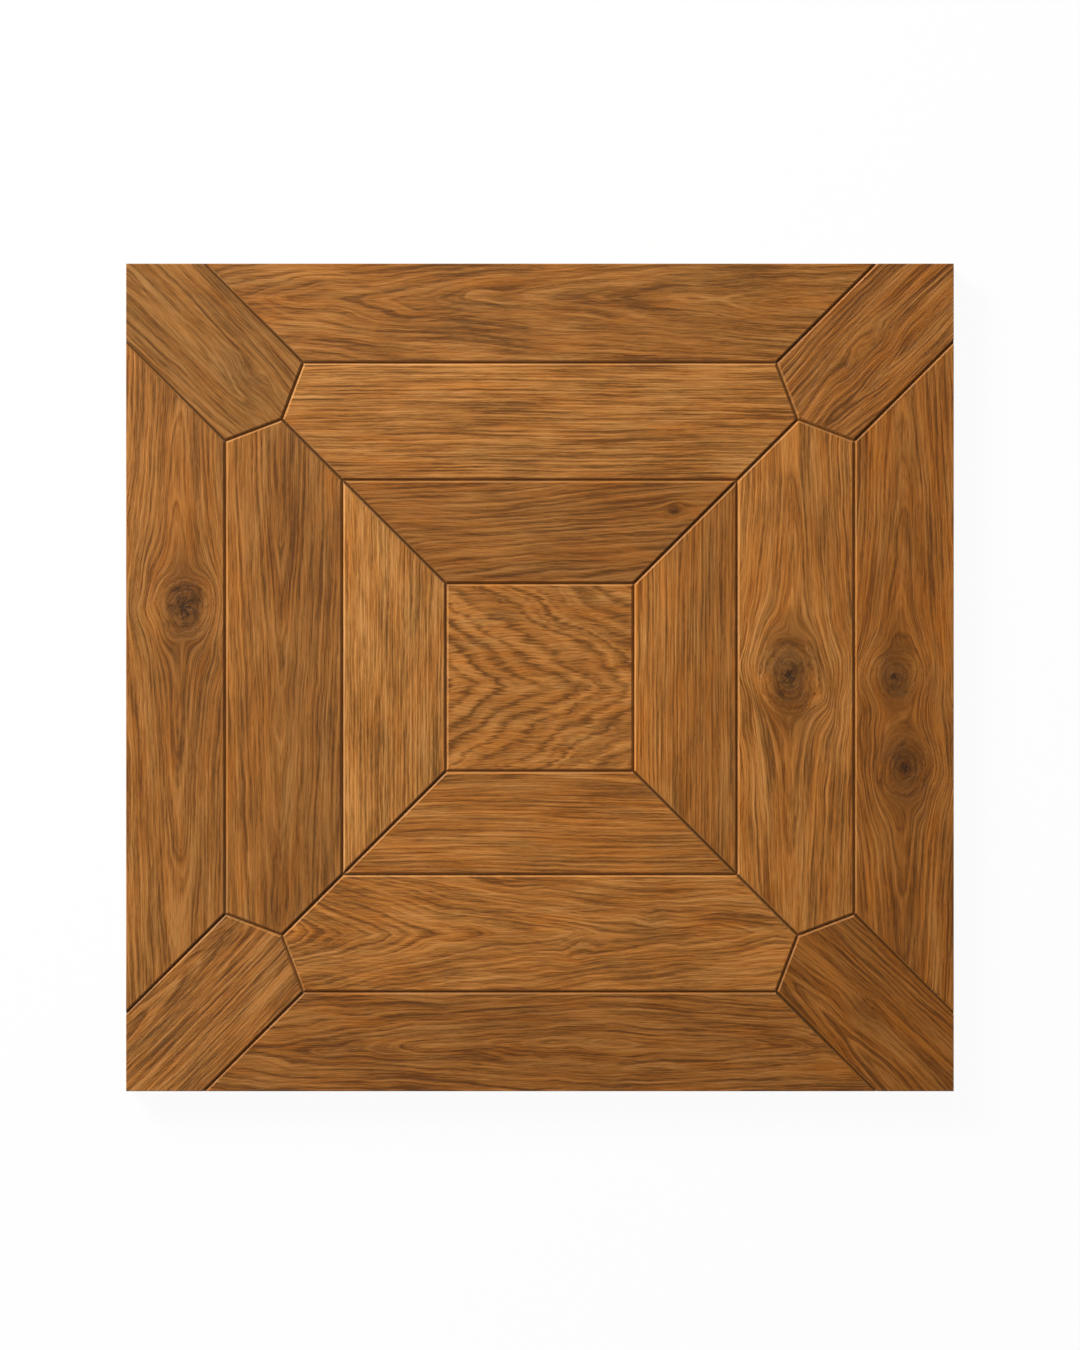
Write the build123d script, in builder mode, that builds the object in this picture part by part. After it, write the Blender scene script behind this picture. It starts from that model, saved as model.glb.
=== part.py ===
"""Square parquet panel of solid oak, seventeen staves joined by tongues and grooves.

Three rings of mitred staves stand round a centre square. A brace crosses each corner on the
diagonal and ends in a blunt point between two staves of the middle ring. Every stave has a
bevel along its top edges, so the joints show as V-grooves. The panel's own four edges are
grooved for the loose tongues that join it to the next panel.

Millimetres. X points east, Y north and Z up. The origin is the middle of the underside.
"""

from build123d import *
from math import atan2, cos, hypot, pi, sin, sqrt
import os

# The panel seen from above
centre_side = 136.0
inner_width = 75.0
middle_width = 85.0
outer_width = 72.0
brace_width = 80.0
brace_point_depth = 18.0

# Its section
thickness = 20.0
joint_bevel = 1.8
rim_bevel = 0.5

# Tongues and grooves
groove_floor = 7.0
groove_height = 5.0
groove_depth = 6.0
rim_groove_depth = 8.0
tongue_side_gap = 0.1
tongue_end_gap = 0.5
tongue_bevel = 0.8
lower_lip_relief = 0.3

# What follows from those sizes
tongue_floor = groove_floor + tongue_side_gap
tongue_height = groove_height - 2 * tongue_side_gap
tongue_length = groove_depth - tongue_end_gap
centre_half = centre_side / 2
inner_half = centre_half + inner_width
middle_half = inner_half + middle_width
panel_half = middle_half + outer_width
brace_across = brace_width / sqrt(2)
shoulder = middle_half - brace_across
heel = panel_half - brace_across
tip = middle_half - brace_across / 2 - brace_point_depth / sqrt(2)

# What is cut or grown along an edge of a stave
TONGUE = "tongue"
GROOVE = "groove"
RIM = "rim groove"

# Each outline runs counter-clockwise, and its joints are listed from its first edge on
centre_outline = [
    (-centre_half, -centre_half),
    (centre_half, -centre_half),
    (centre_half, centre_half),
    (-centre_half, centre_half),
]
centre_joints = [GROOVE] * 4

inner_outline = [
    (-centre_half, centre_half),
    (centre_half, centre_half),
    (inner_half, inner_half),
    (-inner_half, inner_half),
]
inner_joints = [TONGUE, TONGUE, GROOVE, GROOVE]

middle_outline = [
    (-inner_half, inner_half),
    (inner_half, inner_half),
    (tip, tip),
    (shoulder, middle_half),
    (-shoulder, middle_half),
    (-tip, tip),
]
middle_joints = [TONGUE, TONGUE, TONGUE, GROOVE, TONGUE, GROOVE]

outer_outline = [
    (-shoulder, middle_half),
    (shoulder, middle_half),
    (heel, panel_half),
    (-heel, panel_half),
]
outer_joints = [TONGUE, TONGUE, RIM, TONGUE]

brace_outline = [
    (tip, tip),
    (middle_half, shoulder),
    (panel_half, heel),
    (panel_half, panel_half),
    (heel, panel_half),
    (shoulder, middle_half),
]
brace_joints = [GROOVE, GROOVE, RIM, RIM, GROOVE, GROOVE]


def turned(outline, quarters):
    """The outline turned clockwise by that many quarter turns."""
    for _ in range(quarters):
        outline = [(y, -x) for x, y in outline]
    return outline


# Every stave of the panel: its name, outline and joints
sides = ["north", "east", "south", "west"]
corners = ["north_east", "south_east", "south_west", "north_west"]
staves = [("centre_square", centre_outline, centre_joints)]
for quarter in range(4):
    for ring, outline, joints in (
        ("inner_stave", inner_outline, inner_joints),
        ("middle_stave", middle_outline, middle_joints),
        ("outer_stave", outer_outline, outer_joints),
    ):
        staves.append((f"{ring}_{sides[quarter]}", turned(outline, quarter), joints))
    staves.append((f"corner_brace_{corners[quarter]}", turned(brace_outline, quarter), brace_joints))


def corner_angle(outline, corner):
    """The angle of wood at a corner of an outline."""
    at = outline.index(corner)
    before = outline[at - 1]
    after = outline[(at + 1) % len(outline)]
    back = atan2(before[1] - corner[1], before[0] - corner[0])
    ahead = atan2(after[1] - corner[1], after[0] - corner[0])
    return (back - ahead) % (2 * pi)


def tongue_setback(corner):
    """How far a tongue stops short of a corner, so that no groove or tongue there meets it."""
    on_rim = max(abs(corner[0]), abs(corner[1])) == panel_half
    depth = rim_groove_depth if on_rim else groove_depth
    angles = [corner_angle(outline, corner) for _, outline, _ in staves if corner in outline]
    reach = max((depth + max(0.0, tongue_length * cos(angle))) / sin(angle) for angle in angles)
    return reach + tongue_end_gap


def edge_plane(start, end, height):
    """A plane at a height, with X along an edge from its start and Y out of the stave."""
    along = (end[0] - start[0], end[1] - start[1], 0)
    return Plane(origin=(*start, height), x_dir=along, z_dir=(0, 0, -1))


def milled_strip(start, end, floor, height, depth):
    """What a cutter takes off along an edge, run out past both its ends."""
    length = hypot(end[0] - start[0], end[1] - start[1])
    run_out = 3 * depth
    with BuildPart() as strip:
        with BuildSketch(edge_plane(start, end, floor + height)):
            with Locations((length / 2, 0)):
                Rectangle(length + 2 * run_out, 2 * depth)
        extrude(amount=height)
    return strip.part


def edge_tongue(start, end):
    """The tongue of one edge, thinned at its nose so that it finds its groove."""
    length = hypot(end[0] - start[0], end[1] - start[1])
    first = tongue_setback(start)
    last = length - tongue_setback(end)
    edge = edge_plane(start, end, tongue_floor + tongue_height)
    across = Plane(
        origin=edge.from_local_coords(Vector(first, 0, 0)),
        x_dir=edge.y_dir,
        z_dir=edge.x_dir,
    )
    with BuildPart() as tongue:
        with BuildSketch(across):
            with BuildLine():
                Polyline(
                    (0, 0),
                    (tongue_length - tongue_bevel, 0),
                    (tongue_length, tongue_bevel),
                    (tongue_length, tongue_height - tongue_bevel),
                    (tongue_length - tongue_bevel, tongue_height),
                    (0, tongue_height),
                    close=True,
                )
            make_face()
        extrude(amount=last - first)
    return tongue.part


def is_on_rim(edge):
    """Whether an edge lies along the outside of the panel."""
    middle = edge @ 0.5
    return abs(max(abs(middle.X), abs(middle.Y)) - panel_half) < rim_bevel / 2


def make_stave(outline, joints):
    """One stave: its outline in full thickness, bevelled on top, then grooved and tongued."""
    cuts = []
    tongues = []
    for start, end, joint in zip(outline, outline[1:] + outline[:1], joints):
        if joint == TONGUE:
            tongues.append(edge_tongue(start, end))
        else:
            depth = rim_groove_depth if joint == RIM else groove_depth
            cuts.append(milled_strip(start, end, groove_floor, groove_height, depth))
            cuts.append(milled_strip(start, end, 0, groove_floor, lower_lip_relief))

    with BuildPart() as stave:
        with BuildSketch():
            with BuildLine():
                Polyline(*outline, close=True)
            make_face()
        extrude(amount=thickness)
        for on_rim, bevel in ((False, joint_bevel), (True, rim_bevel)):
            top_edges = stave.faces().sort_by(Axis.Z)[-1].edges()
            bevelled = [edge for edge in top_edges if is_on_rim(edge) == on_rim]
            if bevelled:
                chamfer(bevelled, length=bevel)
        if cuts:
            add(cuts, mode=Mode.SUBTRACT)
        if tongues:
            add(tongues)
    return stave.part


os.makedirs("parts", exist_ok=True)
for name, outline, joints in staves:
    part = make_stave(outline, joints)
    part.label = name
    export_step(part, f"parts/{name}.step")
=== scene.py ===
"""The finish of a square oak parquet panel, and the studio that it lies in.

Every stave is its own piece. Its solid comes from the frame, and its wearing face is cut into fine
cells along the grain, so that the growth rings stand in low relief, as on brushed oak. Rings, knots,
fibres and pores are worked out in three dimensions from the stave's place in its tree, so they run
on over the bevels and down the edges.

Metres in the frame. The grain is worked out in millimetres, in each stave's own frame: along its
grain, across it, and down from its wearing face.
"""

from dataclasses import dataclass, field
from math import ceil, pi, radians

import bmesh
import bpy
from bpy.props import FloatProperty, FloatVectorProperty, PointerProperty
from mathutils import Matrix, Vector


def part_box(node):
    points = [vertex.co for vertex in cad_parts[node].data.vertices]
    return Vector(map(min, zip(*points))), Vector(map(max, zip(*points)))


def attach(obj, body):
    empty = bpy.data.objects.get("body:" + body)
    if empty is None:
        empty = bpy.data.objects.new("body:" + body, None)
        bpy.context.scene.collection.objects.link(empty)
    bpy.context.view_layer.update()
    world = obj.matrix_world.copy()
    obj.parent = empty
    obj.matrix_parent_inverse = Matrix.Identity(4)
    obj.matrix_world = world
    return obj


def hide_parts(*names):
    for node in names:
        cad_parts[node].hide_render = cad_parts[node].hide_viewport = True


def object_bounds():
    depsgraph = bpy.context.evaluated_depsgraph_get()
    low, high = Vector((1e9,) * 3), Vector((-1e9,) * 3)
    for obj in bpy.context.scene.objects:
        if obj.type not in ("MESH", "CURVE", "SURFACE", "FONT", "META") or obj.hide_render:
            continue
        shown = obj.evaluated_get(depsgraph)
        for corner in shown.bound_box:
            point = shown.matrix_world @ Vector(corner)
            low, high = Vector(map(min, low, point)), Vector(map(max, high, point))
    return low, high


bl_info = {
    "name": "Oak parquet panel",
    "version": (1, 0, 0),
    "blender": (4, 5, 0),
    "location": "3D View > Sidebar > Parquet",
    "description": "Dresses the staves of a parquet panel in brushed, oiled oak",
    "category": "Object",
}

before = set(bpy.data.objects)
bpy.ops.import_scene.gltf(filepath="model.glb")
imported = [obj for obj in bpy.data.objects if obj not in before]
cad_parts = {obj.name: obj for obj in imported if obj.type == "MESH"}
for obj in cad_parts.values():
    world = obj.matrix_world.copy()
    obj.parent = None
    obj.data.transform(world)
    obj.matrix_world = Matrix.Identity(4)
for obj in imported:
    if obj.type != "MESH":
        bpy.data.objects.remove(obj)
cad_low, cad_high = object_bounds()

BODY = "root"
MM = 0.001
SIDES = ("north", "east", "south", "west")
CORNERS = ("north_east", "south_east", "south_west", "north_west")
MERGE_DISTANCE = 1e-6
CLEAR_DISTANCE = 10 * MERGE_DISTANCE
FLAT_ANGLE = radians(0.5)
SHARP_ANGLE = radians(20)


@dataclass
class Knot:
    """A branch that the saw cut across: its place on the panel and the radius of its core, in mm.

    Push is how much it moves the grain aside, cracked how far its cracks reach as a share of the
    core, and dark how strong its stain is."""

    x: float
    y: float
    core: float
    push: float = 1.0
    cracked: float = 1.0
    dark: float = 1.0


@dataclass
class Figure:
    """How one stave was cut from its tree. Places are on the panel, X east and Y north, in mm.

    The rings are shells round the tree's heart, which meets the face at the eye, leaves it at a slope
    and levels off at its deepest. The arches that it draws on the face are round at a roundness of 2
    and pointed near 1. Bend, wobble, swirl and feather are the waves of the grain, from long to
    short, in mm. Lean and crown make the stave brighter to one side and at both edges, partly as the
    wood's own tone and partly as painted light and shade on its sides. Warmth changes its tone,
    streaks how much its lines show, and grit how much its fibres do. Rhythm is how evenly its lines
    follow each other."""

    eye: tuple
    slope: float = 0.08
    deepest: float = 200.0
    roundness: float = 2.0
    bow: float = 0.0
    spacing: float = 4.6
    bend: float = 3.0
    wobble: float = 0.8
    swirl: float = 2.0
    feather: float = 2.0
    tone: float = 1.0
    # Lean and crown are partly the wood's own tone and partly painted light and shade across the stave
    lean_and_shade: float = 0.0
    crown_and_shade: float = 0.0
    warmth: float = 0.0
    heart: float = 0.0
    streaks: float = 1.0
    grit: float = 1.0
    rhythm: float = 0.0
    knots: list = field(default_factory=list)


@dataclass
class Layer:
    """A noise in the wood: its size along and across the grain in mm, and how fine it gets."""

    along: float
    across: float
    detail: float = 1.0
    roughness: float = 0.5
    offset: tuple = ()


FIGURES = {
    "centre_square": Figure(
        eye=(-175, -6),
        slope=0.62,
        deepest=400,
        roundness=1.12,
        spacing=12.5,
        bend=6,
        wobble=4.5,
        swirl=11,
        feather=8,
        tone=1.06,
        lean_and_shade=-0.02,
        warmth=0.4,
        streaks=1.2,
        grit=1.2,
        rhythm=0.45,
    ),
    "inner_stave_north": Figure(
        eye=(300, 20),
        slope=0.17,
        bow=3,
        bend=5,
        swirl=4,
        tone=0.81,
        lean_and_shade=0.06,
        warmth=0.6,
        streaks=1.1,
        grit=0.8,
        knots=[Knot(98, 120, 2.4, push=0.8, cracked=0, dark=0.8)],
    ),
    "inner_stave_east": Figure(
        eye=(250, 0),
        slope=0.02,
        spacing=3.4,
        bend=2,
        wobble=0.6,
        tone=1,
        lean_and_shade=0.25,
        crown_and_shade=0.13,
        warmth=0.7,
        grit=0.7,
    ),
    "inner_stave_south": Figure(
        eye=(0, -260),
        slope=0.03,
        spacing=3.8,
        bend=4,
        tone=1.1,
        crown_and_shade=-0.1,
        warmth=0.7,
        grit=0.85,
    ),
    "inner_stave_west": Figure(
        eye=(-300, 0),
        slope=0.02,
        spacing=3.2,
        bend=2,
        wobble=0.6,
        tone=1.12,
        lean_and_shade=0.08,
        crown_and_shade=0.05,
        warmth=-1.2,
        grit=1.2,
    ),
    "middle_stave_north": Figure(
        eye=(0, 420),
        slope=0.02,
        spacing=3.4,
        wobble=0.6,
        tone=1.04,
        lean_and_shade=0.05,
        crown_and_shade=0.03,
        warmth=-0.5,
        streaks=1.2,
    ),
    "middle_stave_east": Figure(
        eye=(182, 20),
        slope=0.05,
        spacing=3.8,
        bend=4,
        tone=1.07,
        lean_and_shade=0.09,
        crown_and_shade=0.06,
        warmth=0.3,
        knots=[Knot(182, 2, 12, cracked=0.45, dark=0.85)],
    ),
    "middle_stave_south": Figure(
        eye=(-245, -188),
        slope=0.3,
        deepest=62,
        roundness=1.25,
        bow=4,
        spacing=4.2,
        bend=5,
        wobble=1.4,
        swirl=5,
        tone=1.09,
        warmth=0.4,
        knots=[
            Knot(30, -194, 6, push=0.25, cracked=0, dark=0.2),
            Knot(80, -177, 5, push=0.2, cracked=0, dark=0.2),
        ],
    ),
    "middle_stave_west": Figure(
        eye=(-188, 200),
        slope=0.055,
        roundness=1.4,
        bend=2,
        swirl=4,
        tone=0.79,
        lean_and_shade=0.12,
        crown_and_shade=0.12,
        heart=0.15,
        grit=0.85,
    ),
    "outer_stave_north": Figure(
        eye=(225, 274),
        slope=0.09,
        roundness=1.4,
        bend=4,
        swirl=5,
        tone=0.89,
        warmth=0.1,
    ),
    "outer_stave_east": Figure(
        eye=(262, -30),
        slope=0.06,
        spacing=3.8,
        bend=4,
        tone=0.85,
        lean_and_shade=0.03,
        crown_and_shade=0.12,
        warmth=1.8,
        heart=0.06,
        grit=0.85,
        knots=[
            Knot(258.8, 0.3, 8, cracked=0.4, dark=0.55),
            Knot(265.3, -65.7, 9.5, cracked=0.4, dark=0.5),
        ],
    ),
    "outer_stave_south": Figure(
        eye=(60, -268),
        slope=0.08,
        roundness=1.4,
        bend=6,
        wobble=1.2,
        swirl=6,
        tone=0.82,
        warmth=1.2,
        streaks=1.1,
    ),
    "outer_stave_west": Figure(
        eye=(-262, 40),
        slope=0.06,
        spacing=3.8,
        bend=4,
        tone=0.87,
        lean_and_shade=0.08,
        crown_and_shade=0.04,
        knots=[Knot(-259.4, 51, 10.5)],
    ),
    "corner_brace_north_east": Figure(
        eye=(285, 262),
        slope=0.1,
        roundness=1.4,
        bend=4,
        swirl=5,
        tone=0.87,
        warmth=1.4,
        streaks=1.2,
        knots=[
            Knot(243, 247, 6, push=0.3, cracked=0, dark=0.3),
            Knot(222, 226, 6, push=0.25, cracked=0, dark=0.25),
        ],
    ),
    "corner_brace_south_east": Figure(
        eye=(262, -300),
        slope=0.1,
        roundness=1.4,
        bend=4,
        swirl=5,
        tone=0.76,
        warmth=1.9,
        knots=[Knot(235, -243, 6, push=0.3, cracked=0, dark=0.25)],
    ),
    "corner_brace_south_west": Figure(
        eye=(-330, -290),
        slope=0.08,
        swirl=3,
        tone=0.95,
        streaks=1.25,
        grit=1.1,
    ),
    "corner_brace_north_west": Figure(
        eye=(-300, 290),
        slope=0.08,
        roundness=1.4,
        bend=4,
        swirl=5,
        tone=0.76,
        warmth=-1.5,
        streaks=0.9,
        knots=[Knot(-213, 216, 7, push=0.3, cracked=0, dark=0.25)],
    ),
}

# How unevenly a tree grows. Bow is measured this far from the middle, and the shells begin at the heart
SLOW_WAVES = Layer(150, 60, detail=0)
SHORT_WAVES = Layer(38, 13)
FRAYED_RINGS = Layer(24, 1.6)
RAGGED_RINGS = Layer(16, 7)
UNEVEN_GROWTH = Layer(55, 24, offset=(9, 3, 5))
BOW_SPAN = 150.0
HEART_RADIUS = 0.7
SEED_STEP = 7

# The lines in the rings: how many a ring has, how ragged they are in rings, and how long in mm
LINES_IN_RING = 2.3
LINE_RAGGED = 0.3
LINE_LENGTH = 120.0
LINE_ROUGHNESS = 0.62

# The even lines of a ring: how narrow they are, how dark, and what brings their mean back to nothing
RHYTHM_SHARPNESS = 3
RHYTHM_DARK = 0.3
RHYTHM_MEAN = 0.09

# How the wood grows round a knot. Stretch and tail are less than 1, because it swells along the grain.
# Curl, uneven, smoke and mottle are how irregular its rings, its outline, its stain and its shade are
UNEVEN_KNOTS = Layer(30, 18, detail=0, offset=(2, 7, 4))
KNOT_BLOTS = Layer(6, 6, detail=2, roughness=0.7)
KNOT_STRETCH = 0.74
KNOT_SWELL = 1.8
KNOT_RINGS = 0.9
KNOT_TAIL = 0.43
KNOT_CURL = 5.0
KNOT_UNEVEN = 0.5
KNOT_SMOKE = 1.8
KNOT_MOTTLE = 3.5
KNOT_SHADE = 0.85
KNOT_RIM = 0.3
LOBE_TWIST = 14.0
LEAST_CRACKED = 0.01

# Where the parts of a knot begin and end, as shares of its radius
RIM_INSIDE = (0.6, 0.95)
RIM_OUTSIDE = (0.95, 1.25)
STAIN_REACH = (-0.1, 1.5)
TAIL_REACH = (0.6, 2.3)
FRAYING_REACH = (1.5, 4)
CRACK_REACH = (0.4, 1.1)

# Where a knot's cracks and its pith begin to fade, and where they end, in mm
CRACK_WIDTH = (0.1, 0.5)
PITH_WIDTH = (0.5, 1.4)

# How much a knot darkens the wood in it and round it, dulls its lines, and how strong its own colours are
KNOT_STAIN = 0.5
KNOT_HALO = 0.42
KNOT_DULL = 0.75
KNOT_COLOUR = 0.2
CRACK_COLOUR = 0.8
CRACK_SHADE = 0.5

# The layers that follow the fibres
FIBRES = Layer(22, 1.4, detail=2, roughness=0.6)
HAIRS = Layer(7, 0.6, roughness=0.6)
DASHES = Layer(26, 2.6, detail=2, offset=(1, 4, 6))
CLOUDS = Layer(70, 18)
VESSELS = Layer(7, 0.45, offset=(5, 1, 7))
HUES = Layer(60, 9, detail=2, roughness=0.6, offset=(8, 2, 3))

# Where the noise of the vessels is a pore and where a pale fleck, and where a line is porous or soft
PORES = (0.1, 0.2)
FLECKS = (-0.17, -0.26)
POROUS_LINE = (0.1, -0.12)
SOFT_LINE = (0.12, -0.12)

# How much each layer of the grain darkens or lightens the wood
LINE_TONE = 2.4
FIBRE_TONE = 1.1
HAIR_TONE = 0.6
CLOUD_TONE = 0.8
DASH_TONE = 0.7
PORE_TONE = 0.3
FLECK_TONE = 0.2
MIDDLE_TONE = 0.5

# How many rings round the heart are darker
HEART_RINGS = (0, 5)

# How much the wood drifts between a redder and a greener brown along its fibres, and what red takes away
HUE_DRIFT = 9.0
RED_GREEN = 0.05
RED_BLUE = 0.15

# How far from its middle a stave's lean and crown are measured, in mm
HALF_STAVE = 40.0

# How far each layer stands out, in mm
LINE_RELIEF = 0.2
FIBRE_RELIEF = 0.38
HAIR_RELIEF = 0.1
PORE_RELIEF = 0.08
CRACK_RELIEF = 0.1

# The bevels, from 0 at the top to 1 at the bottom: their rubbed edge, which is partly wear and partly a
# painted highlight of the oil's sheen, their darker bottom, which is partly dirt and partly painted shade in
# the groove, and how strong both are.
# In a mitre the painted shade reaches further up than in the straight joints
WORN_AND_SHEEN_EDGE = (0.0, 0.12)
WORN_AND_SHEEN_SHARE = 0.5
DIRT_AND_SHADE_BOTTOM = (0.45, 1.0)
DIRT_AND_SHADE_SHARE = 0.8
MITRE_SHADE = 1.6

# The depth in mm at which the oil ends, how ragged that line is, and the darkest of the raw wood
OIL_DEPTH = (-2.1, -2.8)
OIL_RAGGED = 1.2
RAW_SHADE = 0.7

# How rough the oiled wood is, and what changes it
OILED_ROUGHNESS = 0.56
PALE_GLOSS = 0.12
WORN_GLOSS = 0.15
RAW_ROUGHNESS = 0.2
OIL_SPECULAR = 0.2

# A face whose normal is at least this far up lies level
LEVEL = 0.99

# The white floor, and the edges of the wall of light as parts of the sky's directions
FLOOR_TONE = 0.85
WALL_SIDE = (-0.3, 0.9)
WALL_TOP = (0.05, 0.45)


class OakSettings(bpy.types.PropertyGroup):
    """Sizes and colours that all the staves share."""

    pale: FloatVectorProperty(
        name="Pale oak",
        description="Colour between the growth rings",
        subtype="COLOR",
        default=(0.48, 0.194, 0.044),
    )
    warm: FloatVectorProperty(
        name="Warm oak",
        description="Main colour of the oiled wood",
        subtype="COLOR",
        default=(0.328, 0.12, 0.0205),
    )
    dark: FloatVectorProperty(
        name="Dark oak",
        description="Colour of the rings' porous lines",
        subtype="COLOR",
        default=(0.148, 0.051, 0.007),
    )
    # The worn colour is partly the rubbed wear of the bevels and partly a painted highlight of the oil's
    # sheen on them
    worn_and_sheen: FloatVectorProperty(
        name="Worn oak and sheen",
        description="Colour of the rubbed bevels and of their painted sheen",
        subtype="COLOR",
        default=(0.48, 0.22, 0.07),
    )
    # The knot's colour also darkens the bevels' bottoms, as dirt and as painted shade in the groove
    knot: FloatVectorProperty(
        name="Knot",
        description="Colour of a knot's core",
        subtype="COLOR",
        default=(0.07, 0.027, 0.008),
    )
    raw: FloatVectorProperty(
        name="Raw oak",
        description="Colour of the wood below the oil",
        subtype="COLOR",
        default=(0.43, 0.27, 0.13),
    )
    relief: FloatProperty(
        name="Relief",
        description="Depth of the brushed rings",
        unit="LENGTH",
        default=0.00014,
        min=0,
        max=0.0005,
    )
    arris: FloatProperty(
        name="Arris",
        description="Width beside the bevels without relief",
        unit="LENGTH",
        default=0.0015,
        min=0.0001,
    )
    cell_along: FloatProperty(
        name="Cell along",
        description="Length of a cell of the face, along the grain",
        unit="LENGTH",
        default=0.0021,
    )
    cell_across: FloatProperty(
        name="Cell across",
        description="Width of a cell of the face",
        unit="LENGTH",
        default=0.00075,
    )


class StudioSettings(bpy.types.PropertyGroup):
    """Camera, lamp and floor. Pixels are those of the photograph, 1080 wide and 1350 high."""

    photo_height: FloatProperty(
        name="Photo height",
        description="Height of the photograph",
        subtype="PIXEL",
        default=1350,
    )
    photo_width: FloatProperty(
        name="Photo width",
        description="Width of the photograph",
        subtype="PIXEL",
        default=1080,
    )
    panel_px: FloatProperty(
        name="Panel",
        description="The panel's side in the photograph",
        subtype="PIXEL",
        default=827.8,
    )
    middle_x: FloatProperty(
        name="Middle X",
        description="The panel's middle, from the left",
        subtype="PIXEL",
        default=539.9,
    )
    middle_y: FloatProperty(
        name="Middle Y",
        description="The panel's middle, from the top",
        subtype="PIXEL",
        default=677.4,
    )
    lens: FloatProperty(name="Lens", description="Focal length in mm", default=100)
    sensor: FloatProperty(name="Sensor", description="Height of the sensor in mm", default=36)
    key_power: FloatProperty(
        name="Key",
        description="Power of the soft lamp at the upper left, in watts",
        default=172,
    )
    key_distance: FloatProperty(
        name="Key distance",
        description="From the lamp to the panel",
        unit="LENGTH",
        default=3.2,
    )
    key_height: FloatProperty(
        name="Key height",
        description="The lamp's height above the horizon",
        subtype="ANGLE",
        default=radians(28),
    )
    key_size: FloatProperty(
        name="Key size",
        description="Side of the lamp",
        unit="LENGTH",
        default=1.1,
    )
    fill: FloatProperty(name="Fill", description="Strength of the light from all round", default=0.25)
    wall: FloatProperty(name="Wall", description="Brightness of the wall that the oil mirrors", default=6)
    floor_size: FloatProperty(name="Floor", description="Side of the floor", unit="LENGTH", default=8)
    shadow: FloatProperty(name="Shadow", description="How much of its shadow the floor shows", default=0.05)


class Signal:
    """A number or vector that runs through a node tree, so that formulas can be written out."""

    def __init__(self, tree, socket):
        self.tree = tree
        self.socket = socket

    def _node(self, kind, operation, *values):
        node = self.tree.nodes.new(kind)
        node.operation = operation
        for socket, value in zip(node.inputs, (self, *values)):
            plug(self.tree, value, socket)
        return node

    def maths(self, operation, *values):
        return Signal(self.tree, self._node("ShaderNodeMath", operation, *values).outputs[0])

    def vector(self, operation, *values):
        return Signal(self.tree, self._node("ShaderNodeVectorMath", operation, *values).outputs[0])

    def __add__(self, other):
        return self.maths("ADD", other)

    def __sub__(self, other):
        return self.maths("SUBTRACT", other)

    def __mul__(self, other):
        return self.maths("MULTIPLY", other)

    def __truediv__(self, other):
        return self.maths("DIVIDE", other)

    def inverse(self):
        """One less this number."""
        return self * -1 + 1

    def scaled(self, factors):
        return self.vector("MULTIPLY", factors)

    def moved(self, offset):
        return self.vector("ADD", offset)

    def split(self):
        node = self.tree.nodes.new("ShaderNodeSeparateXYZ")
        plug(self.tree, self, node.inputs[0])
        return [Signal(self.tree, output) for output in node.outputs]

    def step(self, low, high, start=0.0, end=1.0):
        """Goes smoothly from start at low to end at high."""
        node = self.tree.nodes.new("ShaderNodeMapRange")
        node.interpolation_type = "SMOOTHSTEP"
        for socket, value in zip(node.inputs, (self, low, high, start, end)):
            plug(self.tree, value, socket)
        return Signal(self.tree, node.outputs[0])

    def fade(self, low, high):
        """Falls smoothly from 1 at low to 0 at high."""
        return self.step(low, high, 1.0, 0.0)


def plug(tree, value, socket):
    """Links a signal to a socket, or writes a plain value on it."""
    if isinstance(value, Signal):
        tree.links.new(value.socket, socket)
    else:
        socket.default_value = value


def constant(tree, value):
    """A number that is the same everywhere."""
    node = tree.nodes.new("ShaderNodeValue")
    node.outputs[0].default_value = value
    return Signal(tree, node.outputs[0])


def joined(tree, x, y, z):
    """A vector made of three numbers."""
    node = tree.nodes.new("ShaderNodeCombineXYZ")
    for socket, value in zip(node.inputs, (x, y, z)):
        plug(tree, value, socket)
    return Signal(tree, node.outputs[0])


def length(first, second):
    """The length of a flat vector with these two parts."""
    return (first * first + second * second).maths("SQRT")


def noise(tree, place, detail, roughness=0.5):
    """Soft noise about 0, from about -0.5 to 0.5."""
    node = tree.nodes.new("ShaderNodeTexNoise")
    plug(tree, place, node.inputs["Vector"])
    node.inputs["Scale"].default_value = 1.0
    node.inputs["Detail"].default_value = detail
    node.inputs["Roughness"].default_value = roughness
    return Signal(tree, node.outputs[0]) - 0.5


def layer_noise(place, layer, shift=None):
    """The noise of one layer at a place, where the grain runs along X."""
    place = place.scaled((1 / layer.along, 1 / layer.across, 1 / layer.across))
    for offset in (shift, layer.offset):
        if offset:
            place = place.moved(offset)
    return noise(place.tree, place, layer.detail, layer.roughness)


def blended(tree, factor, low, high):
    """A colour between two colours."""
    node = tree.nodes.new("ShaderNodeMix")
    node.data_type = "RGBA"
    plug(tree, factor, node.inputs["Factor"])
    plug(tree, low, node.inputs["A"])
    plug(tree, high, node.inputs["B"])
    return Signal(tree, node.outputs["Result"])


def opaque(colour, share=1.0):
    """A colour for a socket, darkened to a share of itself."""
    return (*(share * part for part in colour), 1)


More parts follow.
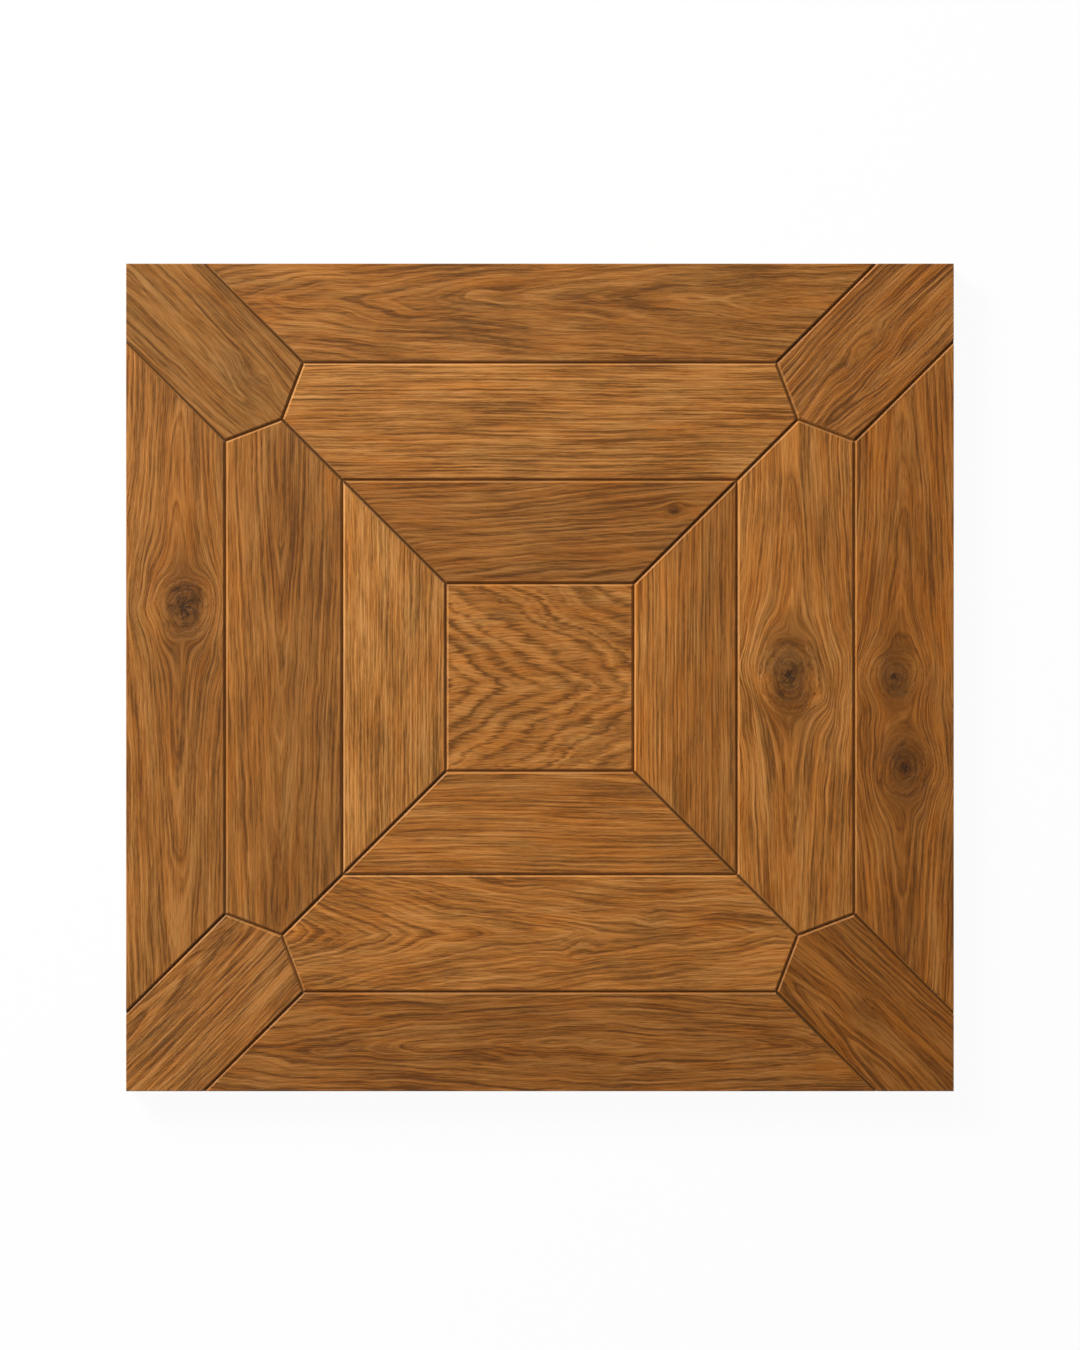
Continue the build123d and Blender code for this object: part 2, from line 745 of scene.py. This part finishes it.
GROWTH_INPUTS = [
    ("Middle", "VECTOR", "Middle of the stave's wearing face, in metres"),
    ("Grain turn", "FLOAT", "Direction of the grain, in radians from X"),
    ("Eye", "VECTOR", "Where the heart of the tree meets the face, along and across, in mm"),
    ("Slope", "FLOAT", "How steeply the heart leaves the face"),
    ("Deepest", "FLOAT", "How far below the face the heart levels off, in mm"),
    ("Roundness", "FLOAT", "2 for round arches, and near 1 for pointed ones"),
    ("Bow", "FLOAT", "How far the grain curves to one side 150 mm from the middle, in mm"),
    ("Spacing", "FLOAT", "From one growth ring to the next, in mm"),
    ("Bend", "FLOAT", "Slow waves of the grain, in mm"),
    ("Wobble", "FLOAT", "Short waves of the grain, in mm"),
    ("Swirl", "FLOAT", "Unevenness of the tree's growth, in mm"),
    ("Feather", "FLOAT", "How far the rings fray along the fibres, in mm"),
    ("Rhythm", "FLOAT", "0 for lines at random and 1 for one dark line in each ring"),
    ("Seed", "FLOAT", "Sets one stave's noise apart from the next"),
]
OAK_GROUP = "Solid oak, {} knots"
RELIEF_GROUP = "Brushed grain, {} knots"
SOCKETS = {"VECTOR": "NodeSocketVector", "FLOAT": "NodeSocketFloat"}


def growth_inputs(knot_count):
    """The growth inputs of a stave with this many knots."""
    inputs = list(GROWTH_INPUTS)
    for number in range(1, knot_count + 1):
        inputs.append((f"Knot {number}", "VECTOR", "Along, across and the radius of its core, in mm"))
        inputs.append((f"Knot {number} force", "VECTOR", "How much it pushes the grain, cracks and darkens"))
    return inputs


def growth_values(node):
    """The growth inputs of one stave, by name."""
    figure = FIGURES[node]
    turn = grain_turn(node)
    middle = face_middle(node)
    to_stave = Matrix.Rotation(-turn, 2)

    def along_across(x, y):
        place = to_stave @ (Vector((x, y)) - middle.to_2d() / MM)
        return (place.x, place.y, 0.0)

    values = {
        "Middle": tuple(middle),
        "Grain turn": turn,
        "Eye": along_across(*figure.eye),
        "Slope": figure.slope,
        "Deepest": figure.deepest,
        "Roundness": figure.roundness,
        "Bow": figure.bow,
        "Spacing": figure.spacing,
        "Bend": figure.bend,
        "Wobble": figure.wobble,
        "Swirl": figure.swirl,
        "Feather": figure.feather,
        "Rhythm": figure.rhythm,
        "Seed": float(sorted(FIGURES).index(node) * SEED_STEP),
    }
    for number, knot in enumerate(figure.knots, start=1):
        along, across, _ = along_across(knot.x, knot.y)
        values[f"Knot {number}"] = (along, across, knot.core)
        values[f"Knot {number} force"] = (knot.push, knot.cracked, knot.dark)
    return values


def grain_turn(node):
    """The direction of a stave's grain, in radians from X: it runs along the stave."""
    if node.endswith(("_north_east", "_south_west")):
        return pi / 4
    if node.endswith(("_south_east", "_north_west")):
        return -pi / 4
    return pi / 2 if node.endswith(("_east", "_west")) else 0.0


def face_middle(node):
    """The middle of a stave's box, at the height of its wearing face."""
    low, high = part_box(node)
    return Vector(((low.x + high.x) / 2, (low.y + high.y) / 2, high.z))


def growth(tree, given, place, knot_count, line_detail):
    """The wood at a place: where it is in the stave, and how near it is to ring lines and knots.

    The shells round the heart give nested arches on the face and arcs on the end grain. A knot
    pushes the wood aside, and inside the swelling round it the rings are its own. A noise reaches
    about half either way, so it is doubled where it has to reach a size in mm."""
    local = place.vector("SUBTRACT", given["Middle"]).scaled((1 / MM, 1 / MM, 1 / MM))
    turn = tree.nodes.new("ShaderNodeVectorRotate")
    turn.rotation_type = "Z_AXIS"
    plug(tree, local, turn.inputs["Vector"])
    plug(tree, given["Grain turn"] * -1, turn.inputs["Angle"])
    here = Signal(tree, turn.outputs[0])
    along, across, down = here.split()
    seed = given["Seed"]
    # Every stave takes its noises from another place
    shift = joined(tree, seed, seed * 1.7, seed * 0.6)

    slow = layer_noise(here, SLOW_WAVES, shift)
    short = layer_noise(here, SHORT_WAVES, shift)
    frayed = layer_noise(here, FRAYED_RINGS, shift)
    ragged = layer_noise(here, RAGGED_RINGS, shift)
    uneven = layer_noise(here, UNEVEN_GROWTH, shift)
    bowed = (along / BOW_SPAN) * (along / BOW_SPAN) * given["Bow"]
    start_side = across - bowed + slow * given["Bend"] * 2 + short * given["Wobble"] * 2
    side = start_side
    ahead = along

    own_rings = constant(tree, 0.0)
    core = constant(tree, 0.0)
    halo = constant(tree, 0.0)
    cracks = constant(tree, 0.0)
    calm = constant(tree, 1.0)
    if knot_count:
        lopsided = layer_noise(here, UNEVEN_KNOTS, shift)
        blots = layer_noise(here, KNOT_BLOTS, shift)
        crooked = lopsided * KNOT_UNEVEN + 1
        mottled = blots * -KNOT_MOTTLE + KNOT_SHADE
    for number in range(1, knot_count + 1):
        knot_along, knot_across, radius = given[f"Knot {number}"].split()
        push, cracked, dark = given[f"Knot {number} force"].split()
        past = along - knot_along
        beside = start_side - knot_across
        reach = length(past * KNOT_STRETCH, beside) * crooked
        swell = radius * KNOT_SWELL
        pushed = (swell / reach).maths("POWER", 2).maths("MINIMUM", 1.0) * push
        ahead = ahead + past * pushed
        side = side - beside * pushed
        inside = (swell - reach + blots * KNOT_CURL).maths("MAXIMUM", 0.0)
        own_rings = inside * push * KNOT_RINGS + own_rings
        share = reach / radius
        tail = length(past * KNOT_TAIL, beside) / radius
        bearing = joined(tree, past / reach, beside / reach, reach / LOBE_TWIST + seed + number)
        lobes = noise(tree, bearing, 0)
        rim = share.step(*RIM_INSIDE) * share.fade(*RIM_OUTSIDE) * (lobes * 2 + KNOT_RIM) * cracked
        stain = (share + blots * KNOT_SMOKE).fade(*STAIN_REACH) * mottled + rim.maths("MAXIMUM", 0.0)
        core = (stain * dark).maths("MAXIMUM", core)
        halo = (tail.fade(*TAIL_REACH) * push).maths("MAXIMUM", halo)
        calm = share.step(*FRAYING_REACH) * calm
        near = (share / cracked.maths("MAXIMUM", LEAST_CRACKED)).fade(*CRACK_REACH)
        split = (lobes * reach).maths("ABSOLUTE").fade(*CRACK_WIDTH) * near
        pith = reach.fade(*PITH_WIDTH) * cracked.maths("MINIMUM", 1.0)
        cracks = split.maths("MAXIMUM", pith).maths("MAXIMUM", cracks)
    ahead = ahead + frayed * given["Feather"] * calm * 2

    eye_along, eye_across, _ = given["Eye"].split()
    depth = ((ahead - eye_along) * given["Slope"] / given["Deepest"]).maths("TANH") * given["Deepest"]
    depth = depth + down + uneven * given["Swirl"] * 2
    roundness = given["Roundness"]
    squares = (side - eye_across).maths("ABSOLUTE").maths("POWER", roundness)
    squares = squares + depth.maths("ABSOLUTE").maths("POWER", roundness)
    shells = squares.maths("POWER", roundness.maths("POWER", -1)).maths("MAXIMUM", HEART_RADIUS)
    rings = (shells + own_rings) / given["Spacing"] + ragged * LINE_RAGGED
    line_place = joined(tree, rings * LINES_IN_RING, ahead / LINE_LENGTH, seed)
    line = noise(tree, line_place, line_detail, LINE_ROUGHNESS)
    even = ((rings * 2 * pi).maths("SINE") * 0.5 + 0.5).maths("POWER", RHYTHM_SHARPNESS)
    line = line + (even * -RHYTHM_DARK + RHYTHM_MEAN - line) * given["Rhythm"]
    return {
        "across": across,
        "down": down,
        "fibre": joined(tree, ahead, side + own_rings, down).moved(shift),
        "rings": rings,
        "line": line,
        "core": core,
        "halo": halo,
        "cracks": cracks,
    }


def group_tree(kind, name, inputs):
    """A new node group with these inputs, and the signals that come out of its input node."""
    tree = bpy.data.node_groups.new(name, kind)
    for label, sort, description in inputs:
        socket = tree.interface.new_socket(label, in_out="INPUT", socket_type=SOCKETS.get(sort, sort))
        socket.description = description
    source = tree.nodes.new("NodeGroupInput")
    return tree, {label: Signal(tree, source.outputs[label]) for label, _, _ in inputs}


def oak_group(knot_count):
    """The shader group of solid oak: colour, roughness and height from the wood's growth."""
    oak = bpy.context.scene.parquet_oak
    extra = [
        ("Tone", "FLOAT", "Brightness of this stave"),
        ("Lean", "FLOAT", "How much brighter it is on one side"),
        ("Crown", "FLOAT", "How much brighter it is on both sides"),
        ("Warmth", "FLOAT", "How much redder it is"),
        ("Heart", "FLOAT", "Darkening round the heart"),
        ("Streaks", "FLOAT", "Contrast of the ring lines"),
        ("Grit", "FLOAT", "How strongly the fibres show"),
    ]
    name = OAK_GROUP.format(knot_count)
    tree, given = group_tree("ShaderNodeTree", name, growth_inputs(knot_count) + extra)
    tree.interface.new_socket("Color", in_out="OUTPUT", socket_type="NodeSocketColor")
    tree.interface.new_socket("Roughness", in_out="OUTPUT", socket_type="NodeSocketFloat")
    tree.interface.new_socket("Height", in_out="OUTPUT", socket_type="NodeSocketFloat")
    place = Signal(tree, tree.nodes.new("ShaderNodeTexCoord").outputs["Object"])
    wood = growth(tree, given, place, knot_count, line_detail=2)
    line = wood["line"]
    fibre = wood["fibre"]

    fibres = layer_noise(fibre, FIBRES)
    hairs = layer_noise(fibre, HAIRS)
    dashes = layer_noise(fibre, DASHES)
    clouds = layer_noise(fibre, CLOUDS)
    vessels = layer_noise(fibre, VESSELS)
    hues = layer_noise(fibre, HUES)
    pores = vessels.step(*PORES)
    flecks = vessels.step(*FLECKS)

    # A tone of 0 is dark oak, 0.5 warm oak and 1 pale oak
    tone = line * given["Streaks"] * (wood["halo"] * KNOT_DULL).inverse() * LINE_TONE
    tone = tone + (fibres * FIBRE_TONE + hairs * HAIR_TONE) * given["Grit"]
    tone = tone + clouds * CLOUD_TONE + MIDDLE_TONE
    tone = tone - line.step(*POROUS_LINE) * pores * PORE_TONE
    tone = tone - dashes * given["Streaks"] * DASH_TONE + flecks * FLECK_TONE
    tone = tone - given["Heart"] * wood["rings"].fade(*HEART_RINGS)
    colour = blended(tree, tone * 2, opaque(oak.dark), opaque(oak.warm))
    colour = blended(tree, tone * 2 - 1, colour, opaque(oak.pale))
    seam_node = tree.nodes.new("ShaderNodeAttribute")
    seam_node.attribute_name = "seam"
    seam = Signal(tree, seam_node.outputs["Fac"])
    # Paler bevels: partly the rubbed wear of their edges, partly a painted highlight of the oil's sheen on
    # them
    worn_and_sheen = seam.step(*WORN_AND_SHEEN_EDGE)
    colour = blended(tree, worn_and_sheen * WORN_AND_SHEEN_SHARE, colour, opaque(oak.worn_and_sheen))

    # Brighter to one side and at both edges of the stave: partly the wood's own tone, partly painted light
    # on the stave's lit side and painted shade on its far side, which give it a pillowed look
    width = wood["across"] / HALF_STAVE
    level = (width * width * given["Crown"] + width * given["Lean"] + 1) * given["Tone"]
    level = level * (wood["halo"] * KNOT_HALO).inverse() * (wood["core"] * KNOT_STAIN).inverse()
    warmth = given["Warmth"] + hues * HUE_DRIFT
    green = (warmth * RED_GREEN).inverse() * level
    blue = (warmth * RED_BLUE).inverse() * level
    toned = colour.scaled(joined(tree, level, green, blue))
    toned = blended(tree, wood["core"] * KNOT_COLOUR, toned, opaque(oak.knot))
    toned = blended(tree, wood["cracks"] * CRACK_COLOUR, toned, opaque(oak.knot, CRACK_SHADE))
    # Darker towards the bevels' bottom: partly dirt in the joints, partly painted shade of the groove, which
    # reaches further up in the mitres
    toned = blended(tree, seam.step(*DIRT_AND_SHADE_BOTTOM) * DIRT_AND_SHADE_SHARE, toned, opaque(oak.knot))

    raw = (wood["down"] + fibres * OIL_RAGGED).step(*OIL_DEPTH)
    raw_colour = blended(tree, tone, opaque(oak.raw, RAW_SHADE), opaque(oak.raw))
    final = blended(tree, raw, toned, raw_colour)

    roughness = tone * -PALE_GLOSS + raw * RAW_ROUGHNESS - worn_and_sheen * WORN_GLOSS + OILED_ROUGHNESS
    height = line * LINE_RELIEF + (fibres * FIBRE_RELIEF + hairs * HAIR_RELIEF) * given["Grit"]
    height = height - pores * PORE_RELIEF - wood["cracks"] * CRACK_RELIEF
    output = tree.nodes.new("NodeGroupOutput")
    for label, value in (("Color", final), ("Roughness", roughness), ("Height", height)):
        plug(tree, value, output.inputs[label])
    return tree


def oak_material(node, group):
    """The finish of one stave: satin oil over its own figure."""
    material = bpy.data.materials.new(f"oak_{node}")
    material.use_nodes = True
    tree = material.node_tree
    shader = tree.nodes["Principled BSDF"]
    wood = tree.nodes.new("ShaderNodeGroup")
    wood.node_tree = group
    figure = FIGURES[node]
    values = growth_values(node)
    values.update(Tone=figure.tone, Lean=figure.lean_and_shade, Crown=figure.crown_and_shade, Warmth=figure.warmth)
    values.update(Heart=figure.heart, Streaks=figure.streaks, Grit=figure.grit)
    for label, value in values.items():
        wood.inputs[label].default_value = value
    bump = tree.nodes.new("ShaderNodeBump")
    bump.inputs["Distance"].default_value = MM
    bump.inputs["Strength"].default_value = 1.0
    tree.links.new(wood.outputs["Height"], bump.inputs["Height"])
    tree.links.new(wood.outputs["Color"], shader.inputs["Base Color"])
    tree.links.new(wood.outputs["Roughness"], shader.inputs["Roughness"])
    tree.links.new(bump.outputs["Normal"], shader.inputs["Normal"])
    shader.inputs["Specular IOR Level"].default_value = OIL_SPECULAR
    return material


def relief_tree(knot_count):
    """Geometry nodes that sink the soft early wood of each ring, as a brush does."""
    extra = [
        ("Depth", "FLOAT", "Depth of the relief, in metres"),
        ("Arris", "FLOAT", "Width beside the bevels without relief, in metres"),
        ("Finish", "NodeSocketMaterial", "Material of the stave"),
    ]
    tree, given = group_tree(
        "GeometryNodeTree",
        RELIEF_GROUP.format(knot_count),
        [("Geometry", "NodeSocketGeometry", "")] + growth_inputs(knot_count) + extra,
    )
    tree.interface.new_socket("Geometry", in_out="OUTPUT", socket_type="NodeSocketGeometry")
    place = Signal(tree, tree.nodes.new("GeometryNodeInputPosition").outputs[0])
    wood = growth(tree, given, place, knot_count, line_detail=1)
    up = Signal(tree, tree.nodes.new("GeometryNodeInputNormal").outputs[0]).split()[2]
    apart = tree.nodes.new("GeometryNodeSeparateGeometry")
    apart.domain = "FACE"
    plug(tree, given["Geometry"], apart.inputs["Geometry"])
    plug(tree, up.maths("LESS_THAN", LEVEL), apart.inputs["Selection"])
    nearest = tree.nodes.new("GeometryNodeProximity")
    nearest.target_element = "FACES"
    tree.links.new(apart.outputs["Selection"], nearest.inputs["Geometry"])
    inside = Signal(tree, nearest.outputs["Distance"]).step(0, given["Arris"])

    soft = wood["line"].step(*SOFT_LINE).maths("MAXIMUM", wood["cracks"])
    sunk = soft * given["Depth"] * inside * -1
    press = tree.nodes.new("GeometryNodeSetPosition")
    plug(tree, given["Geometry"], press.inputs["Geometry"])
    plug(tree, joined(tree, 0.0, 0.0, sunk), press.inputs["Offset"])
    real = tree.nodes.new("GeometryNodeRealizeInstances")
    tree.links.new(press.outputs[0], real.inputs[0])
    finish = tree.nodes.new("GeometryNodeSetMaterial")
    tree.links.new(real.outputs[0], finish.inputs["Geometry"])
    plug(tree, given["Finish"], finish.inputs["Material"])
    output = tree.nodes.new("NodeGroupOutput")
    tree.links.new(finish.outputs[0], output.inputs["Geometry"])
    return tree


def cut_edge(edge, start, places):
    """Splits an edge at the places, in order from its start, and returns all its vertices in order."""
    end = edge.other_vert(start)
    chain = [start]
    for place in places:
        _, added = bmesh.utils.edge_split(edge, chain[-1], 0.5)
        added.co = place
        chain.append(added)
        edge = next(e for e in added.link_edges if e.other_vert(added) is end)
    return chain + [end]


def levels_between(marks, step):
    """Even levels from each mark to the next, no further apart than the step."""
    levels = [marks[0]]
    for low, high in zip(marks, marks[1:]):
        count = max(1, ceil((high - low) / step))
        levels += [low + (high - low) * number / count for number in range(1, count + 1)]
    return levels


def cut_face(solid, face, turn):
    """Replaces a stave's wearing face by rows of fine cells that run along the grain."""
    oak = bpy.context.scene.parquet_oak
    to_stave = Matrix.Rotation(-turn, 3, "Z")
    to_panel = Matrix.Rotation(turn, 3, "Z")
    height = face.verts[0].co.z
    flat = {vert: to_stave @ vert.co for vert in face.verts}
    marks = []
    for across in sorted(place.y for place in flat.values()):
        if not marks or across - marks[-1] > CLEAR_DISTANCE:
            marks.append(across)
    rows = levels_between(marks, oak.cell_across)
    along = [place.x for place in flat.values()]
    columns = ceil((max(along) - min(along)) / oak.cell_along)

    def panel_place(x, y):
        place = to_panel @ Vector((x, y, 0))
        place.z = height
        return place

    def inner_levels(first, last):
        low, high = sorted((first, last))
        found = [row for row in rows if low + CLEAR_DISTANCE < row < high - CLEAR_DISTANCE]
        return found if last > first else found[::-1]

    loop = list(face.verts)
    left, right, bottom, top = {}, {}, [], []
    for start, end in zip(loop, loop[1:] + loop[:1]):
        edge = next(e for e in start.link_edges if e.other_vert(start) is end)
        a, b = flat[start], flat[end]
        if abs(a.y - b.y) <= CLEAR_DISTANCE:
            steps = [a.x + (b.x - a.x) * number / columns for number in range(1, columns)]
            chain = cut_edge(edge, start, [panel_place(x, a.y) for x in steps])
            if b.x > a.x:
                bottom = chain
            else:
                top = chain[::-1]
            continue
        heights = inner_levels(a.y, b.y)
        places = [panel_place(a.x + (b.x - a.x) * (y - a.y) / (b.y - a.y), y) for y in heights]
        chain = cut_edge(edge, start, places)
        side = right if b.y > a.y else left
        for vert, y in zip(chain, [a.y, *heights, b.y]):
            side[round(y / MERGE_DISTANCE)] = vert

    bmesh.ops.delete(solid, geom=[face], context="FACES_ONLY")
    grid = []
    for row in rows:
        key = round(row / MERGE_DISTANCE)
        if row == rows[0]:
            grid.append(bottom)
        elif row == rows[-1]:
            grid.append(top)
        else:
            first, last = left[key], right[key]
            steps = [first.co.lerp(last.co, number / columns) for number in range(1, columns)]
            grid.append([first, *(solid.verts.new(place) for place in steps), last])
    for below, above in zip(grid, grid[1:]):
        for number in range(columns):
            cell = solid.faces.new((below[number], below[number + 1], above[number + 1], above[number]))
            cell.smooth = True


def stave_solid(node):
    """The stave's own solid from the frame, with its wearing face cut into cells and its seams marked."""
    solid = bmesh.new()
    solid.from_mesh(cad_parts[node].data)
    bmesh.ops.remove_doubles(solid, verts=solid.verts, dist=MERGE_DISTANCE)
    bmesh.ops.dissolve_limit(solid, angle_limit=FLAT_ANGLE, verts=solid.verts, edges=solid.edges)
    seam = solid.loops.layers.float.new("seam")
    face = max(solid.faces, key=lambda f: f.calc_center_median().z)
    top_height = face.verts[0].co.z
    for edge in face.edges:
        for bevel in edge.link_faces:
            if bevel is face:
                continue
            deep = min(vert.co.z for vert in bevel.verts) < top_height - MM
            way = edge.verts[1].co - edge.verts[0].co
            # A mitre's bevels get a larger value, so that the painted shade at their bottom reaches further
            # up
            mitred = abs(abs(way.x) - abs(way.y)) < MM
            dirt_and_shade = MITRE_SHADE if mitred else 1.0
            for loop in bevel.loops:
                loop[seam] = dirt_and_shade if deep and loop.vert.co.z < top_height - MM / 2 else 0.0
    for other in solid.faces:
        other.smooth = False
    cut_face(solid, face, grain_turn(node))
    for edge in solid.edges:
        edge.smooth = len(edge.link_faces) == 2 and edge.calc_face_angle(0.0) < SHARP_ANGLE
    mesh = bpy.data.meshes.new(node)
    solid.to_mesh(mesh)
    solid.free()
    return mesh


def make_stave(node):
    """One stave as a finished piece that stands for its node."""
    oak = bpy.context.scene.parquet_oak
    knot_count = len(FIGURES[node].knots)
    group = bpy.data.node_groups.get(OAK_GROUP.format(knot_count)) or oak_group(knot_count)
    relief = bpy.data.node_groups.get(RELIEF_GROUP.format(knot_count)) or relief_tree(knot_count)
    rough = bpy.data.objects.new(f"{node}_solid", stave_solid(node))
    bpy.context.scene.collection.objects.link(rough)
    brush = rough.modifiers.new("Brushed grain", "NODES")
    brush.node_group = relief
    sockets = relief.interface.items_tree
    named = {item.name: item.identifier for item in sockets if item.in_out == "INPUT"}
    values = growth_values(node)
    values.update(Depth=oak.relief, Arris=oak.arris, Finish=oak_material(node, group))
    for label, value in values.items():
        brush[named[label]] = value
    bpy.context.view_layer.update()
    brushed = rough.evaluated_get(bpy.context.evaluated_depsgraph_get())
    finished = bpy.data.meshes.new_from_object(brushed)
    bpy.data.objects.remove(rough)
    finished.name = f"oiled_{node}"
    piece = bpy.data.objects.new(f"oiled_{node}", finished)
    bpy.context.scene.collection.objects.link(piece)
    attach(piece, BODY)
    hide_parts(node)
    return piece


class PARQUET_OT_centre_square(bpy.types.Operator):
    """Finish the square centre stave"""

    bl_idname = "parquet.centre_square"
    bl_label = "Centre square"

    def execute(self, context):
        make_stave("centre_square")
        return {"FINISHED"}


class PARQUET_OT_inner_ring(bpy.types.Operator):
    """Finish the mitred staves round the centre square"""

    bl_idname = "parquet.inner_ring"
    bl_label = "Inner ring"

    def execute(self, context):
        for side in SIDES:
            make_stave(f"inner_stave_{side}")
        return {"FINISHED"}


class PARQUET_OT_middle_ring(bpy.types.Operator):
    """Finish the staves of the middle ring, which are notched for the braces"""

    bl_idname = "parquet.middle_ring"
    bl_label = "Middle ring"

    def execute(self, context):
        for side in SIDES:
            make_stave(f"middle_stave_{side}")
        return {"FINISHED"}


class PARQUET_OT_outer_staves(bpy.types.Operator):
    """Finish the staves along the panel's edges"""

    bl_idname = "parquet.outer_staves"
    bl_label = "Outer staves"

    def execute(self, context):
        for side in SIDES:
            make_stave(f"outer_stave_{side}")
        return {"FINISHED"}


class PARQUET_OT_corner_braces(bpy.types.Operator):
    """Finish the pointed braces across the corners"""

    bl_idname = "parquet.corner_braces"
    bl_label = "Corner braces"

    def execute(self, context):
        for corner in CORNERS:
            make_stave(f"corner_brace_{corner}")
        return {"FINISHED"}


def seen_share(tree, *rays):
    """1 for the named kinds of light path, and 0 for all others."""
    path = tree.nodes.new("ShaderNodeLightPath")
    share = Signal(tree, path.outputs[rays[0]])
    for ray in rays[1:]:
        share = share.maths("MAXIMUM", Signal(tree, path.outputs[ray]))
    return share


def floor_material(shadow):
    """White as the camera sees it, with a share of its real light, so that the shadow shows."""
    material = bpy.data.materials.new("white_floor")
    material.use_nodes = True
    tree = material.node_tree
    tree.nodes.remove(tree.nodes["Principled BSDF"])
    lit = tree.nodes.new("ShaderNodeBsdfDiffuse")
    lit.inputs["Color"].default_value = (FLOOR_TONE, FLOOR_TONE, FLOOR_TONE, 1)
    white = tree.nodes.new("ShaderNodeEmission")
    share = seen_share(tree, "Is Camera Ray", "Is Glossy Ray", "Is Transmission Ray") * (1 - shadow)
    mix = tree.nodes.new("ShaderNodeMixShader")
    plug(tree, share, mix.inputs[0])
    tree.links.new(lit.outputs[0], mix.inputs[1])
    tree.links.new(white.outputs[0], mix.inputs[2])
    tree.links.new(mix.outputs[0], tree.nodes["Material Output"].inputs["Surface"])
    return material


class PARQUET_OT_studio(bpy.types.Operator):
    """Lay the floor, set the lamp and put the camera straight above the panel"""

    bl_idname = "parquet.studio"
    bl_label = "Studio"

    def execute(self, context):
        studio = context.scene.parquet_studio
        self.lay_floor(context, studio)
        self.light_room(context, studio)
        self.hang_key(context, studio)
        self.place_camera(context, studio)
        context.scene.view_settings.view_transform = "Standard"
        return {"FINISHED"}

    def lay_floor(self, context, studio):
        half = studio.floor_size / 2
        mesh = bpy.data.meshes.new("floor")
        corners = [(-half, -half, 0), (half, -half, 0), (half, half, 0), (-half, half, 0)]
        mesh.from_pydata(corners, [], [(0, 1, 2, 3)])
        mesh.materials.append(floor_material(studio.shadow))
        floor = bpy.data.objects.new("floor", mesh)
        context.scene.collection.objects.link(floor)

    def light_room(self, context, studio):
        """Even light from all round. The camera sees white, and gloss a pale wall to the north-west."""
        world = bpy.data.worlds.new("white_room")
        world.use_nodes = True
        tree = world.node_tree
        seen = seen_share(tree, "Is Camera Ray", "Is Transmission Ray")
        sky = Signal(tree, tree.nodes.new("ShaderNodeTexCoord").outputs["Generated"])
        east, north, up = sky.split()
        wall = (north - east).step(*WALL_SIDE) * up.fade(*WALL_TOP) * studio.wall
        mirrored = seen_share(tree, "Is Glossy Ray") * wall
        strength = seen * (1 - studio.fill) + mirrored + studio.fill
        plug(tree, strength, tree.nodes["Background"].inputs["Strength"])
        tree.nodes["Background"].inputs["Color"].default_value = (1, 1, 1, 1)
        context.scene.world = world

    def hang_key(self, context, studio):
        """A square soft lamp to the north-west, aimed at the panel."""
        light = bpy.data.lights.new("key", "AREA")
        light.size = studio.key_size
        light.energy = studio.key_power
        lamp = bpy.data.objects.new("key", light)
        aim = Vector((-1, 1, 0)).normalized()
        aim = Matrix.Rotation(studio.key_height, 3, aim.cross(Vector((0, 0, 1)))) @ aim
        lamp.location = aim * studio.key_distance
        lamp.rotation_euler = aim.to_track_quat("Z", "Y").to_euler()
        context.scene.collection.objects.link(lamp)

    def place_camera(self, context, studio):
        scale = (cad_high.x - cad_low.x) / studio.panel_px
        lens = bpy.data.cameras.new("camera")
        lens.lens = studio.lens
        lens.sensor_fit = "VERTICAL"
        lens.sensor_height = studio.sensor
        lens.clip_end = 100
        camera = bpy.data.objects.new("camera", lens)
        away = studio.photo_height * scale * studio.lens / studio.sensor
        camera.location = (
            (studio.photo_width / 2 - studio.middle_x) * scale,
            (studio.middle_y - studio.photo_height / 2) * scale,
            cad_high.z + away,
        )
        context.scene.collection.objects.link(camera)
        context.scene.camera = camera


class PARQUET_PT_panel(bpy.types.Panel):
    """The parquet panel's pieces and settings"""

    bl_label = "Parquet panel"
    bl_idname = "PARQUET_PT_panel"
    bl_space_type = "VIEW_3D"
    bl_region_type = "UI"
    bl_category = "Parquet"

    def draw(self, context):
        for group in (context.scene.parquet_oak, context.scene.parquet_studio):
            box = self.layout.box()
            for name in group.bl_rna.properties.keys():
                if name not in ("name", "rna_type"):
                    box.prop(group, name)
        for operator in OPERATORS:
            self.layout.operator(operator.bl_idname)


OPERATORS = (
    PARQUET_OT_centre_square,
    PARQUET_OT_inner_ring,
    PARQUET_OT_middle_ring,
    PARQUET_OT_outer_staves,
    PARQUET_OT_corner_braces,
    PARQUET_OT_studio,
)
CLASSES = (OakSettings, StudioSettings, *OPERATORS, PARQUET_PT_panel)


def register():
    for cls in CLASSES:
        bpy.utils.register_class(cls)
    bpy.types.Scene.parquet_oak = PointerProperty(type=OakSettings)
    bpy.types.Scene.parquet_studio = PointerProperty(type=StudioSettings)


def unregister():
    del bpy.types.Scene.parquet_studio
    del bpy.types.Scene.parquet_oak
    for cls in reversed(CLASSES):
        bpy.utils.unregister_class(cls)


def main():
    register()
    bpy.ops.parquet.centre_square()
    bpy.ops.parquet.inner_ring()
    bpy.ops.parquet.middle_ring()
    bpy.ops.parquet.outer_staves()
    bpy.ops.parquet.corner_braces()
    bpy.ops.parquet.studio()


if __name__ == "__main__":
    main()
